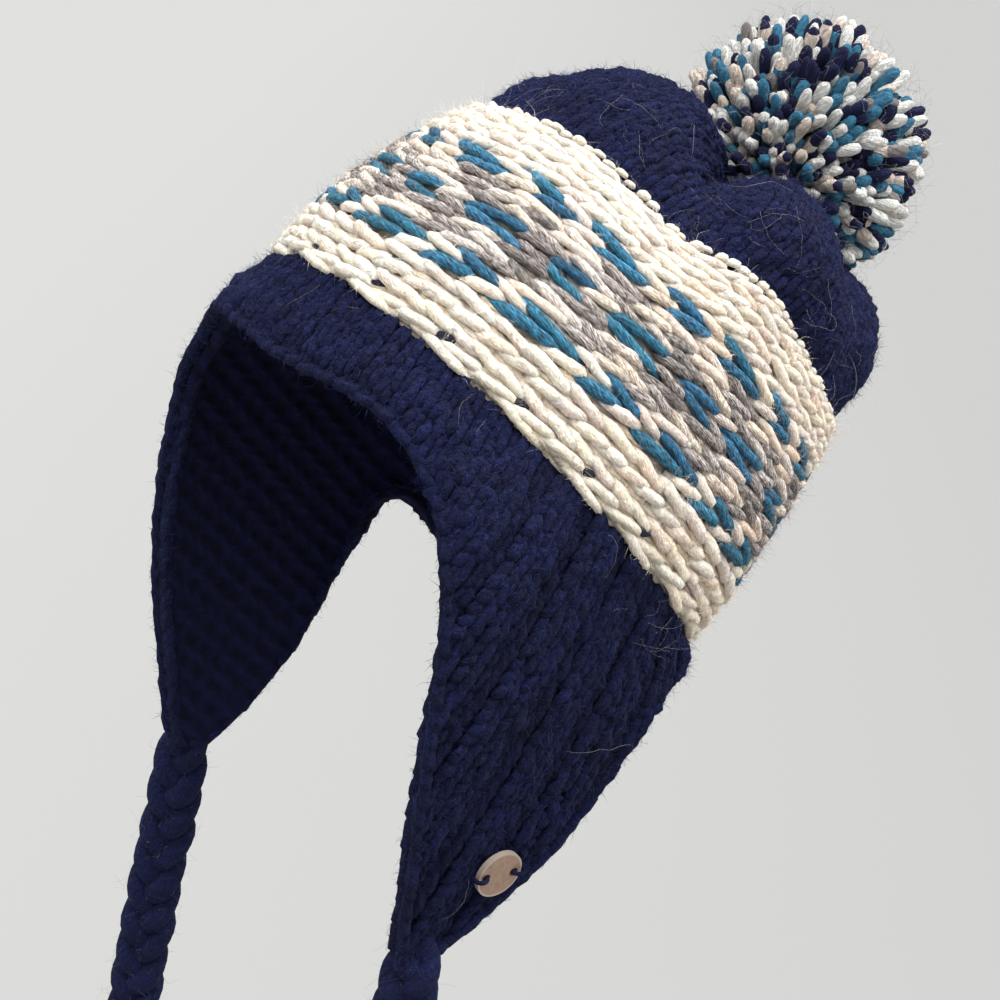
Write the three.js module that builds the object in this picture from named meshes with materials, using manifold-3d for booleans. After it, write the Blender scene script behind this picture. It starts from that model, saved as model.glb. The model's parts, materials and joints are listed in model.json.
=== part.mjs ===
import * as THREE from 'three';
import { mergeVertices } from 'three/addons/utils/BufferGeometryUtils.js';
import Module from 'manifold-3d';

// Knitted earflap hat. Millimetres, +Z up, the face opening looks towards -Y, the wearer's left is +X.
// The origin is the centre of the head hollow, in the plane of the band's lower edge.

// Driving dimensions
const LEAN_DEG = 41.3; // the hat's axis leans back from the vertical by this angle
const WALL = 7.5; // thickness of the knitted fabric
const GAP = 0.3; // clearance between neighbouring pieces
const BAND_PROUD = 1.5; // the band stands out from the navy fabric by this much
const BAND_EDGE_WAVE = 4; // dip of the band's upper edge where a crown fold meets it
const BAND_COLUMNS = 60; // facets round the band and the crown
const BAND_ROWS = 7;
const CROWN_ROWS = 9;
const FLAP_ROWS = 9;
const FLAP_STEPS = 2; // facets between two rows of the hem table
const FLAP_BULGE = 5; // outward swell of the flaps half way down
const RIB_PITCH_DEG = 10.5; // ribs of the flaps, measured round the band's lower edge
const RIB_DEPTH = 1.3;
const TIP_ANGLE = 87; // place of the flap's tip round the band's lower edge
const TIP_WALL = 12; // thickness of the flap's tip, where it runs into the braid
const BROW_ROLL = 3; // swell of the rolled edge over the brow
const BRAID_DIAMETER = 20;
const BRAID_SIDES = 10;
const BRAID_SECTIONS = 10;
const POMPOM_RADIUS = 42.5;
const POMPOM_CORE = 33.5;
const POMPOM_LOCKS = 66;
const POMPOM_LOCK_RADIUS = 5.8;
const POMPOM_SEAT = -0.4; // locks that point further down than this are left to the seat on the crown
const POMPOM_ALONG = 151; // pompom centre along the hat's axis
const POMPOM_BACK = 9;
const BUTTON_DIAMETER = 16;
const BUTTON_THICKNESS = 1.8;
const BUTTON_HOLE = 3;
const BUTTON_HOLE_OFFSET = 5.2;
const BUTTON_CLEAR = 3.4; // height of the disc's back over the flap's skin, which the ribs take up
const BUTTON_PLACE = new THREE.Vector3(78, -31, -96); // the disc sits over this point, on the skin next to it
const BUTTON_TURN_DEG = 90; // turn of the two holes about the disc's axis
const THREAD_RADIUS = 0.7;

// Sections of band and crown: place along the hat's axis, shift to the back, half-widths to the side,
// the front and the rear, and the tilt of the section against the axis in degrees.
const BAND_SECTIONS = [
  { along: 0, back: 0, side: 84, front: 101, rear: 86, tilt: 0 },
  { along: 22, back: 1.8, side: 84, front: 103, rear: 81, tilt: -1 },
  { along: 43, back: 3.5, side: 81.5, front: 102.5, rear: 76, tilt: -2 },
  { along: 65, back: 5.2, side: 77, front: 99, rear: 72, tilt: -3 },
  { along: 84, back: 6.9, side: 70.3, front: 93.5, rear: 70, tilt: -4 },
];
const CROWN_SECTIONS = [
  { along: 84, back: 6.9, side: 68.8, front: 92, rear: 68.5, tilt: -4 },
  { along: 107, back: 7, side: 68.5, front: 85, rear: 66, tilt: -4 },
  { along: 124, back: 8.3, side: 52, front: 68, rear: 51, tilt: -4 },
  { along: 126.5, back: 9.5, side: 31, front: 38, rear: 31, tilt: -3 },
  { along: 117.5, back: 10.5, side: 14, front: 15, rear: 14, tilt: -2 },
  { along: 112.5, back: 11, side: 4.5, front: 4.5, rear: 4.5, tilt: 0 },
];

// Gathers of the crown: place round the hat from the front towards the left, depth, half-spread.
const FOLDS = [
  { angle: 48, depth: 8, spread: 15 },
  { angle: 106, depth: 5, spread: 17 },
  { angle: 166, depth: 6, spread: 18 },
  { angle: 228, depth: 5, spread: 17 },
  { angle: 289, depth: 6, spread: 16 },
  { angle: 347, depth: 4, spread: 16 },
];

// Hem of the navy part on the left half, from the brow over the flap's tip to the nape: the place on the
// band's lower edge that the knitting comes from, and the point of the hem.
const HEM = [
  { angle: 0, x: 0, y: -89, z: 41 },
  { angle: 12, x: 19, y: -88, z: 42 },
  { angle: 23, x: 35, y: -84, z: 41 },
  { angle: 34, x: 50, y: -78, z: 35 },
  { angle: 44, x: 62, y: -73.5, z: 22 },
  { angle: 52, x: 71, y: -72.5, z: 7 },
  { angle: 60, x: 76, y: -70.5, z: -14 },
  { angle: 66, x: 78, y: -69, z: -42 },
  { angle: 72, x: 77, y: -65, z: -73 },
  { angle: 78, x: 74, y: -59.5, z: -101 },
  { angle: 82, x: 71, y: -54, z: -127 },
  { angle: 87, x: 69.5, y: -47, z: -132 },
  { angle: 92, x: 70, y: -37, z: -128 },
  { angle: 96, x: 72, y: -19, z: -113 },
  { angle: 102, x: 75, y: 0, z: -90 },
  { angle: 109, x: 75.5, y: 15, z: -64 },
  { angle: 117, x: 72.5, y: 26, z: -45 },
  { angle: 129, x: 63, y: 39, z: -54 },
  { angle: 145, x: 46, y: 50, z: -65 },
  { angle: 162, x: 25, y: 58, z: -73 },
  { angle: 180, x: 0, y: 61, z: -77 },
];

// Route of the left braid from the flap's tip to its knot. The right braid is its mirror image.
const BRAID_ROUTE = [
  { x: 69.5, y: -47, z: -133 },
  { x: 69.6, y: -47.2, z: -148 },
  { x: 69.9, y: -47.6, z: -164 },
  { x: 70.3, y: -48, z: -180 },
  { x: 70.6, y: -48.3, z: -196 },
  { x: 70.8, y: -48.4, z: -212 },
  { x: 70.9, y: -48.4, z: -228 },
  { x: 70.9, y: -48.2, z: -244 },
  { x: 70.8, y: -47.9, z: -260 },
  { x: 70.6, y: -47.6, z: -276 },
  { x: 70.4, y: -47.3, z: -292 },
  { x: 70.2, y: -47.1, z: -308 },
  { x: 70.1, y: -47, z: -322 },
  { x: 70, y: -47, z: -336 },
  { x: 70, y: -47, z: -350 },
];

// Profile of a braid's end, from the knot down to the cut ends of the yarn.
const BRAID_END_PROFILE = [
  { radius: 0, drop: 0 },
  { radius: 9, drop: 0 },
  { radius: 12.5, drop: 5 },
  { radius: 13, drop: 10 },
  { radius: 9.5, drop: 16 },
  { radius: 11.5, drop: 26 },
  { radius: 14, drop: 44 },
  { radius: 13, drop: 50 },
  { radius: 0, drop: 52 },
];

const wasm = await Module();
wasm.setup();

const lean = THREE.MathUtils.degToRad(LEAN_DEG);
const axisUp = new THREE.Vector3(0, Math.sin(lean), Math.cos(lean));
const axisBack = new THREE.Vector3(0, Math.cos(lean), -Math.sin(lean));
const axisSide = new THREE.Vector3(1, 0, 0);

const NAVY = new THREE.MeshStandardMaterial({ color: 0x14173a, roughness: 0.95, metalness: 0 });
const CREAM = new THREE.MeshStandardMaterial({ color: 0xe9ddca, roughness: 0.92, metalness: 0 });
const MIXED_YARN = new THREE.MeshStandardMaterial({ color: 0x8f979c, roughness: 0.92, metalness: 0 });
const DISC = new THREE.MeshStandardMaterial({ color: 0x9a8277, roughness: 0.45, metalness: 0.5 });

function catmullRom(a, b, c, d, t) {
  const bend = 2 * a - 5 * b + 4 * c - d + t * (3 * b - a - 3 * c + d);
  return b + 0.5 * t * (c - a + t * bend);
}

// A row of a table at the place v, 0 for the first row and 1 for the last, on a smooth curve.
function rowAt(table, v) {
  const place = THREE.MathUtils.clamp(v, 0, 1) * (table.length - 1);
  const i = Math.min(Math.floor(place), table.length - 2);
  const pick = (k) => table[THREE.MathUtils.clamp(k, 0, table.length - 1)];
  const row = {};
  for (const key of Object.keys(table[0])) {
    row[key] = catmullRom(pick(i - 1)[key], pick(i)[key], pick(i + 1)[key], pick(i + 2)[key], place - i);
  }
  return row;
}

function foldDepth(angle) {
  let depth = 0;
  for (const fold of FOLDS) {
    const off = THREE.MathUtils.euclideanModulo(angle - fold.angle + 180, 360) - 180;
    depth += fold.depth * Math.exp(-((off / fold.spread) ** 2));
  }
  return depth;
}

// Dip of the joint between band and crown at an angle round the hat.
function edgeDip(angle) {
  return (BAND_EDGE_WAVE * foldDepth(angle)) / FOLDS[0].depth;
}

// Point of a section at an angle round the hat, grown outwards and lifted along the axis.
function sectionPoint(section, angle, grow, lift) {
  const turn = THREE.MathUtils.degToRad(angle);
  const tilt = THREE.MathUtils.degToRad(section.tilt);
  const reach = (Math.cos(turn) > 0 ? section.front : section.rear) + grow;
  const rearward = -reach * Math.cos(turn);
  return new THREE.Vector3()
    .addScaledVector(axisSide, (section.side + grow) * Math.sin(turn))
    .addScaledVector(axisBack, section.back + rearward * Math.cos(tilt))
    .addScaledVector(axisUp, section.along + lift - rearward * Math.sin(tilt));
}

// Unit normals of a grid of rings, each ring closed on itself, pointing out of the hat.
function ringNormals(rings) {
  return rings.map((ring, j) => ring.map((point, i) => {
    const next = ring[(i + 1) % ring.length];
    const last = ring[(i + ring.length - 1) % ring.length];
    const above = rings[Math.min(j + 1, rings.length - 1)][i];
    const below = rings[Math.max(j - 1, 0)][i];
    const around = new THREE.Vector3().subVectors(next, last);
    const along = new THREE.Vector3().subVectors(above, below);
    return around.cross(along).normalize();
  }));
}

function moved(rings, normals, distance) {
  return rings.map((ring, j) => ring.map((point, i) => point.clone().addScaledVector(normals[j][i], distance(i, j))));
}

// Closed body from a list of rings. With no poles the last ring joins the first one.
function loftGeometry(rings, poles) {
  const count = rings[0].length;
  const points = rings.flat();
  const index = [];
  const bands = poles ? rings.length - 1 : rings.length;
  for (let j = 0; j < bands; j += 1) {
    const low = j * count;
    const high = ((j + 1) % rings.length) * count;
    for (let i = 0; i < count; i += 1) {
      const k = (i + 1) % count;
      index.push(low + i, low + k, high + k, low + i, high + k, high + i);
    }
  }
  if (poles) {
    points.push(poles.first, poles.last);
    const top = (rings.length - 1) * count;
    for (let i = 0; i < count; i += 1) {
      const k = (i + 1) % count;
      index.push(points.length - 2, k, i, points.length - 1, top + i, top + k);
    }
  }
  const geometry = new THREE.BufferGeometry().setFromPoints(points);
  geometry.setIndex(index);
  geometry.computeVertexNormals();
  return geometry;
}

function ringMean(ring) {
  const mean = new THREE.Vector3();
  ring.forEach((point) => mean.add(point));
  return mean.divideScalar(ring.length);
}

const bandAngles = Array.from({ length: BAND_COLUMNS }, (unused, i) => (360 * i) / BAND_COLUMNS);

function bandGeometry() {
  const rings = [];
  for (let j = 0; j <= BAND_ROWS; j += 1) {
    const v = j / BAND_ROWS;
    const section = rowAt(BAND_SECTIONS, v);
    rings.push(bandAngles.map((angle) => sectionPoint(section, angle, BAND_PROUD, -edgeDip(angle) * v ** 3)));
  }
  const inner = moved(rings, ringNormals(rings), () => -WALL);
  const inset = BAND_PROUD - WALL;
  inner[0] = bandAngles.map((angle) => sectionPoint(BAND_SECTIONS[0], angle, inset, 0));
  inner[BAND_ROWS] = bandAngles.map((angle) => sectionPoint(BAND_SECTIONS.at(-1), angle, inset, -edgeDip(angle)));
  return loftGeometry([...rings, ...inner.reverse()]);
}

function crownGeometry() {
  const rings = [];
  for (let j = 0; j <= CROWN_ROWS; j += 1) {
    const v = j / CROWN_ROWS;
    const section = rowAt(CROWN_SECTIONS, v);
    const dip = (1 - v) ** 3;
    rings.push(bandAngles.map((angle) => sectionPoint(section, angle, 0, GAP - edgeDip(angle) * dip)));
  }
  const normals = ringNormals(rings);
  const share = (j) => Math.sin(Math.PI * Math.min(1, j / CROWN_ROWS) ** 0.8);
  const outer = moved(rings, normals, (i, j) => -foldDepth(bandAngles[i]) * share(j));
  const inner = moved(outer, normals, () => -WALL);
  inner[0] = bandAngles.map((angle) => sectionPoint(CROWN_SECTIONS[0], angle, -WALL, GAP - edgeDip(angle)));
  const top = ringMean(outer[CROWN_ROWS]);
  const topInside = ringMean(inner[CROWN_ROWS]);
  return loftGeometry([...inner.reverse(), ...outer], { first: topInside, last: top });
}

// The hem's rows all round: the left half, then its mirror image back to the brow.
function hemPlaces() {
  const steps = (HEM.length - 1) * FLAP_STEPS;
  const left = Array.from({ length: steps + 1 }, (unused, i) => rowAt(HEM, i / steps));
  const right = left.slice(1, -1).reverse().map((row) => ({ ...row, angle: 360 - row.angle, x: -row.x }));
  return [...left, ...right];
}

const hem = hemPlaces();

function frontShare(angle) {
  return THREE.MathUtils.smoothstep(Math.cos(THREE.MathUtils.degToRad(angle)), 0.35, 0.8);
}

function flapShare(angle) {
  const fromFront = angle > 180 ? 360 - angle : angle;
  return THREE.MathUtils.smoothstep(fromFront, 40, 60) * (1 - THREE.MathUtils.smoothstep(fromFront, 118, 135));
}

function ribHeight(angle, s) {
  const fromFront = angle > 180 ? 360 - angle : angle;
  const wave = Math.cos((2 * Math.PI * fromFront) / RIB_PITCH_DEG);
  return RIB_DEPTH * wave * flapShare(angle) * THREE.MathUtils.smoothstep(s, 0.05, 0.3);
}

// Outer skin of the navy part between the band's lower edge and the hem.
function flapRings() {
  const rings = [];
  const start = BAND_SECTIONS[0];
  for (let j = 0; j <= FLAP_ROWS; j += 1) {
    const s = (0.96 * j) / FLAP_ROWS;
    rings.push(hem.map((row) => {
      const from = sectionPoint(start, row.angle, 0, -GAP);
      return from.lerp(new THREE.Vector3(row.x, row.y, row.z), s);
    }));
  }
  const normals = ringNormals(rings).map((ring) => ring.map((normal) => normal.negate()));
  const swell = (i, j) => {
    const s = j / FLAP_ROWS;
    const bulge = FLAP_BULGE * flapShare(hem[i].angle) * Math.sin(Math.PI * s);
    const roll = BROW_ROLL * frontShare(hem[i].angle) * Math.sin(Math.PI * s ** 1.4);
    return bulge + roll + ribHeight(hem[i].angle, s);
  };
  return { rings: moved(rings, normals, swell), normals };
}

const flaps = flapRings();

// Thickness of the navy part, which grows to the braid's at the flaps' tips.
function flapWall(i, j) {
  const offTip = Math.abs((hem[i].angle > 180 ? 360 - hem[i].angle : hem[i].angle) - TIP_ANGLE);
  const nearTip = 1 - THREE.MathUtils.smoothstep(offTip, 3, 14);
  return WALL + (TIP_WALL - WALL) * nearTip * (j / FLAP_ROWS) ** 3;
}

function earflapGeometry() {
  const inner = moved(flaps.rings, flaps.normals, (i, j) => -flapWall(i, j));
  inner[0] = hem.map((row) => sectionPoint(BAND_SECTIONS[0], row.angle, -WALL, -GAP));
  const nose = [hem.map((row, i) => {
    const edge = new THREE.Vector3(row.x, row.y, row.z);
    return edge.addScaledVector(flaps.normals[FLAP_ROWS][i], -flapWall(i, FLAP_ROWS) / 2);
  })];
  return loftGeometry([...inner, ...nose, ...[...flaps.rings].reverse()]);
}

// The point of the flaps' outer skin nearest to a place, with the direction that the skin faces there.
function flapSeat(place) {
  let best = { point: flaps.rings[0][0], out: flaps.normals[0][0] };
  flaps.rings.forEach((ring, j) => ring.forEach((point, i) => {
    if (point.distanceTo(place) < best.point.distanceTo(place)) {
      best = { point, out: flaps.normals[j][i] };
    }
  }));
  const off = place.clone().sub(best.point).dot(best.out);
  return { point: place.clone().addScaledVector(best.out, -off), out: best.out };
}

function asSolid(geometry) {
  const bare = new THREE.BufferGeometry();
  bare.setAttribute('position', geometry.getAttribute('position').clone());
  bare.setIndex(geometry.getIndex());
  const merged = mergeVertices(bare, 1e-4);
  return new wasm.Manifold(new wasm.Mesh({
    numProp: 3,
    vertProperties: new Float32Array(merged.getAttribute('position').array),
    triVerts: new Uint32Array(merged.getIndex().array),
  }));
}

function asGeometry(solid) {
  const mesh = solid.getMesh();
  const geometry = new THREE.BufferGeometry();
  geometry.setAttribute('position', new THREE.BufferAttribute(new Float32Array(mesh.vertProperties), 3));
  geometry.setIndex(new THREE.BufferAttribute(new Uint32Array(mesh.triVerts), 1));
  geometry.computeVertexNormals();
  return geometry;
}

// Locks of yarn all round a core, at directions spread evenly over the ball, in uneven lengths.
function pompomGeometry() {
  const goldenTurn = Math.PI * (3 - Math.sqrt(5));
  const lockInside = 12;
  let ball = asSolid(new THREE.IcosahedronGeometry(POMPOM_CORE, 2));
  for (let i = 0; i < POMPOM_LOCKS; i += 1) {
    const height = 1 - (2 * (i + 0.5)) / POMPOM_LOCKS;
    if (height < POMPOM_SEAT) {
      break;
    }
    const flat = Math.sqrt(1 - height * height);
    const way = new THREE.Vector3(flat * Math.cos(i * goldenTurn), flat * Math.sin(i * goldenTurn), height);
    const reach = POMPOM_RADIUS - 1.6 * (1 + Math.sin(2.4 * i));
    const lock = new THREE.CylinderGeometry(POMPOM_LOCK_RADIUS, POMPOM_LOCK_RADIUS / 2, reach - lockInside, 5);
    lock.translate(0, (reach + lockInside) / 2, 0);
    lock.applyQuaternion(new THREE.Quaternion().setFromUnitVectors(new THREE.Vector3(0, 1, 0), way));
    ball = ball.add(asSolid(lock));
  }
  return asGeometry(ball);
}

function braidGeometry(mirror) {
  const route = BRAID_ROUTE.map((row) => new THREE.Vector3(mirror * row.x, row.y, row.z - GAP));
  const round = new THREE.Shape();
  for (let i = 0; i < BRAID_SIDES; i += 1) {
    const turn = (2 * Math.PI * i) / BRAID_SIDES;
    const x = (BRAID_DIAMETER / 2) * Math.cos(turn);
    const y = (BRAID_DIAMETER / 2) * Math.sin(turn);
    if (i === 0) {
      round.moveTo(x, y);
    } else {
      round.lineTo(x, y);
    }
  }
  round.closePath();
  const extrudePath = new THREE.CatmullRomCurve3(route);
  return new THREE.ExtrudeGeometry(round, { steps: BRAID_SECTIONS, bevelEnabled: false, extrudePath });
}

function braidEndGeometry() {
  const profile = BRAID_END_PROFILE.map((row) => new THREE.Vector2(row.radius, -row.drop)).reverse();
  return new THREE.LatheGeometry(profile, BRAID_SIDES).rotateX(Math.PI / 2);
}

function discHole(x) {
  const hole = new THREE.Path();
  hole.absarc(x, 0, BUTTON_HOLE / 2, 0, 2 * Math.PI, true);
  return hole;
}

function buttonGeometry() {
  const disc = new THREE.Shape().absarc(0, 0, BUTTON_DIAMETER / 2, 0, 2 * Math.PI, false);
  disc.holes.push(discHole(BUTTON_HOLE_OFFSET), discHole(-BUTTON_HOLE_OFFSET));
  return new THREE.ExtrudeGeometry(disc, { depth: BUTTON_THICKNESS, bevelEnabled: false, curveSegments: 16 });
}

// A stitch of thread: up through the hole, over the rim and down to the fabric.
function threadGeometry(mirror) {
  const above = BUTTON_THICKNESS + THREAD_RADIUS + GAP;
  const outside = BUTTON_DIAMETER / 2 + THREAD_RADIUS + GAP;
  const route = [
    new THREE.Vector3(mirror * BUTTON_HOLE_OFFSET, 0, GAP),
    new THREE.Vector3(mirror * BUTTON_HOLE_OFFSET, 0, above - 0.3),
    new THREE.Vector3(mirror * (BUTTON_HOLE_OFFSET + outside) / 2, 0, above + 0.5),
    new THREE.Vector3(mirror * outside, 0, above - 0.3),
    new THREE.Vector3(mirror * (outside + 0.1), 0, GAP),
  ];
  const extrudePath = new THREE.CatmullRomCurve3(route);
  const round = new THREE.Shape().absarc(0, 0, THREAD_RADIUS, 0, 2 * Math.PI, false);
  return new THREE.ExtrudeGeometry(round, { steps: 8, bevelEnabled: false, curveSegments: 4, extrudePath });
}

function node(name, geometry, material) {
  const mesh = new THREE.Mesh(geometry, material);
  mesh.name = name;
  return mesh;
}

const hat = new THREE.Group();
hat.add(node('crown', crownGeometry(), NAVY));
hat.add(node('band', bandGeometry(), CREAM));
hat.add(node('earflaps', earflapGeometry(), NAVY));

const pompom = node('pompom', pompomGeometry(), MIXED_YARN);
pompom.position.addScaledVector(axisUp, POMPOM_ALONG).addScaledVector(axisBack, POMPOM_BACK);
pompom.rotation.x = -lean;
hat.add(pompom);

for (const [side, mirror] of [['left', 1], ['right', -1]]) {
  hat.add(node(`${side}_braid`, braidGeometry(mirror), NAVY));
  const end = node(`${side}_braid_end`, braidEndGeometry(), NAVY);
  const last = BRAID_ROUTE[BRAID_ROUTE.length - 1];
  end.position.set(mirror * last.x, last.y, last.z - 2 * GAP);
  hat.add(end);
}

// The trim disc lies on the left flap near its tip, clear of the ribs.
const seat = flapSeat(BUTTON_PLACE);
const trim = new THREE.Group();
trim.position.copy(seat.point).addScaledVector(seat.out, BUTTON_CLEAR);
trim.quaternion.setFromUnitVectors(new THREE.Vector3(0, 0, 1), seat.out);
trim.rotateZ(THREE.MathUtils.degToRad(BUTTON_TURN_DEG));
trim.add(node('button', buttonGeometry(), DISC));
trim.add(node('button_thread_1', threadGeometry(1), NAVY));
trim.add(node('button_thread_2', threadGeometry(-1), NAVY));
hat.add(trim);

export default hat;
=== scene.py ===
import json
import math

import bmesh
import bpy
import numpy as np
from mathutils import Matrix, Vector

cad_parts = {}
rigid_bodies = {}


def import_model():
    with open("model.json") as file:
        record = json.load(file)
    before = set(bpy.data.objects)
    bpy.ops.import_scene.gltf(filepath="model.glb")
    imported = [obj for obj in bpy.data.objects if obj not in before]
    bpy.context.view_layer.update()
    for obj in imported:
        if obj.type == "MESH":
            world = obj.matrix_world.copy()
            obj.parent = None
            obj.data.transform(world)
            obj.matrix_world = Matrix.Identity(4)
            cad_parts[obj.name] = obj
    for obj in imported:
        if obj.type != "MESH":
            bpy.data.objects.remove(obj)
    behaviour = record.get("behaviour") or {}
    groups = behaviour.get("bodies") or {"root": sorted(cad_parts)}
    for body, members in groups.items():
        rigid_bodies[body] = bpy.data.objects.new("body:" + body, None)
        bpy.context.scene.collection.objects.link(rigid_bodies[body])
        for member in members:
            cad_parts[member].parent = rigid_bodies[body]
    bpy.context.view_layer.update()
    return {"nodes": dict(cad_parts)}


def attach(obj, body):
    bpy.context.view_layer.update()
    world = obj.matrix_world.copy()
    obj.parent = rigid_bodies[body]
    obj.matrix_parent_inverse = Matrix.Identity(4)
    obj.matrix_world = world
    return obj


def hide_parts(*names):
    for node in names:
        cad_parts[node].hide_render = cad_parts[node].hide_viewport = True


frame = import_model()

mm = 0.001  # tables and paths are in millimetres, meshes in metres
dice = np.random.default_rng(41)

# Form of the hat, the same tables as the solids
hatForm = {
    "lean": 41.3,          # the hat's axis leans back by this many degrees
    "wall": 7.5,           # thickness of the knitted fabric
    "gap": 0.3,
    "bandProud": 1.5,      # the band stands out from the navy fabric
    "edgeWave": 4.0,       # dip of the band's upper edge at a crown fold
    "flapBulge": 5.0,
    "browRoll": 3.0,
    "foldReach": 8.0,      # deepest fold of the table below
    "foldSink": 23.0,      # how far the stitches follow it in
    "foldTurn": 11.0,      # a fold runs towards the brow as it rises
    "foldAim": (70.0, 8.0),  # folds sink towards this place, along the axis and to the back
    "edgeRise": 4.5, "riseAt": 66.0, "riseSpread": 13.0,  # the upper edge stands up beside the front fold
}

# along the axis, shift to the back, half-widths to side, front and rear, tilt
bandSections = [
    (0, 0, 84, 101, 86, 0),
    (22, 1.8, 84, 103, 81, -1),
    (43, 3.5, 81.5, 102.5, 76, -2),
    (65, 5.2, 77, 99, 72, -3),
    (84, 6.9, 70.3, 93.5, 70, -4),
]
crownSections = [
    (84, 6.9, 68.8, 92, 68.5, -4),
    (107, 7, 68.5, 85, 66, -4),
    (124, 8.3, 52, 68, 51, -4),
    (126.5, 9.5, 31, 38, 31, -3),
    (117.5, 10.5, 14, 15, 14, -2),
    (112.5, 11, 4.5, 4.5, 4.5, 0),
]
crownFolds = [(48, 8, 15), (106, 5, 17), (166, 6, 18), (228, 5, 17), (289, 6, 16), (347, 4, 16)]  # angle, depth, spread

# angle on the band's lower edge, hem point x, y, z, left half from brow to nape
hemRows = [
    (0, 0, -89, 41), (12, 19, -88, 42), (23, 35, -84, 41), (34, 50, -78, 35), (44, 62, -73.5, 22),
    (52, 71, -72.5, 7), (60, 76, -70.5, -14), (66, 78, -69, -42), (72, 77, -65, -73), (78, 74, -59.5, -101),
    (82, 71, -54, -127), (87, 69.5, -47, -132), (92, 70, -37, -128), (96, 72, -19, -113), (102, 75, 0, -90),
    (109, 75.5, 15, -64), (117, 72.5, 26, -45), (129, 63, 39, -54), (145, 46, 50, -65), (162, 25, 58, -73),
    (180, 0, 61, -77),
]

cosLean = math.cos(math.radians(hatForm["lean"]))
sinLean = math.sin(math.radians(hatForm["lean"]))


def hatSpot(x, along, back):  # a place given along the hat's own axis
    return np.stack([x, back * cosLean + along * sinLean, along * cosLean - back * sinLean], -1)


def throughRows(rows, place):  # smooth curve through a table, place 0 to 1
    rows = np.asarray(rows, float)
    last = len(rows) - 1
    spot = np.clip(np.asarray(place, float), 0, 1) * last
    i = np.minimum(spot.astype(int), last - 1)
    t = (spot - i)[..., None]
    a, b = rows[np.maximum(i - 1, 0)], rows[i]
    c, d = rows[i + 1], rows[np.minimum(i + 2, last)]
    return b + 0.5 * t * (c - a + t * (2 * a - 5 * b + 4 * c - d + t * (3 * b - a - 3 * c + d)))


def smoothStep(x, low, high):
    t = np.clip((x - low) / (high - low), 0, 1)
    return t * t * (3 - 2 * t)


def unit(v):
    return v / np.maximum(np.linalg.norm(v, axis=-1, keepdims=True), 1e-9)


def turnFrom(angle, at):  # signed turn from a place on the hat
    return np.mod(angle - at + 180, 360) - 180


def foldDepth(angle):
    return sum(deep * np.exp(-((turnFrom(angle, at) / spread) ** 2)) for at, deep, spread in crownFolds)


def edgeDip(angle):
    off = turnFrom(angle, hatForm["riseAt"]) / hatForm["riseSpread"]
    return hatForm["edgeWave"] * foldDepth(angle) / hatForm["foldReach"] - hatForm["edgeRise"] * np.exp(-off ** 2)


def sectionSpot(row, angle, grow, lift):
    turn = np.radians(angle)
    along, back, side, front, rear, tilt = np.moveaxis(row, -1, 0)
    tilt = np.radians(tilt)
    rearward = -(np.where(np.cos(turn) > 0, front, rear) + grow) * np.cos(turn)
    return hatSpot((side + grow) * np.sin(turn), along + lift - rearward * np.sin(tilt), back + rearward * np.cos(tilt))


def bandSkin(angle, v):
    return sectionSpot(throughRows(bandSections, v), angle, hatForm["bandProud"], -edgeDip(angle) * v ** 3)


def crownSkin(angle, v):
    lift = hatForm["gap"] - edgeDip(angle) * (1 - v) ** 3
    spot = sectionSpot(throughRows(crownSections, v), angle, 0, lift)
    middle = hatSpot(0.0, *hatForm["foldAim"])
    share = np.sin(math.pi * np.clip(v, 0, 1) ** 1.15)
    depth = foldDepth(angle + hatForm["foldTurn"] * smoothStep(v, 0, 0.3)) / hatForm["foldReach"]
    return spot - unit(spot - middle) * (hatForm["foldSink"] * depth ** 1.7 * share)[..., None]


def fromFront(angle):
    return np.where(angle > 180, 360 - angle, angle)


def flapShare(angle):
    return smoothStep(fromFront(angle), 40, 60) * (1 - smoothStep(fromFront(angle), 118, 135))


def frontShare(angle):
    return smoothStep(np.cos(np.radians(angle)), 0.35, 0.8)


def hemSpot(angle):
    rows = np.asarray(hemRows, float)
    place = np.interp(fromFront(angle), rows[:, 0], np.linspace(0, 1, len(rows)))
    spot = throughRows(rows[:, 1:], place)
    spot[..., 0] *= np.where(angle > 180, -1, 1)
    return spot


def flapSkin(angle, s):
    lowest = np.broadcast_to(np.array(bandSections[0], float), angle.shape + (6,))
    start = sectionSpot(lowest, angle, 0, -hatForm["gap"])
    spot = start + (hemSpot(angle) - start) * s[..., None]
    out = spot * np.array([1.2, 1, 0]) + np.array([0, 10, 0])  # roughly away from the head
    swell = hatForm["flapBulge"] * flapShare(angle) * np.sin(math.pi * np.clip(s, 0, 1))
    swell = swell + hatForm["browRoll"] * frontShare(angle) * np.sin(math.pi * np.clip(s, 0, 1) ** 1.4)
    return spot + unit(out) * swell[..., None]


def pathRun(line):  # distance along a path at each of its points
    return np.concatenate([[0], np.cumsum(np.linalg.norm(np.diff(line, axis=0), axis=1))])


def angleAt(run, distance, angles):
    return np.interp(np.mod(run, distance[-1]), distance, angles)


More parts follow.
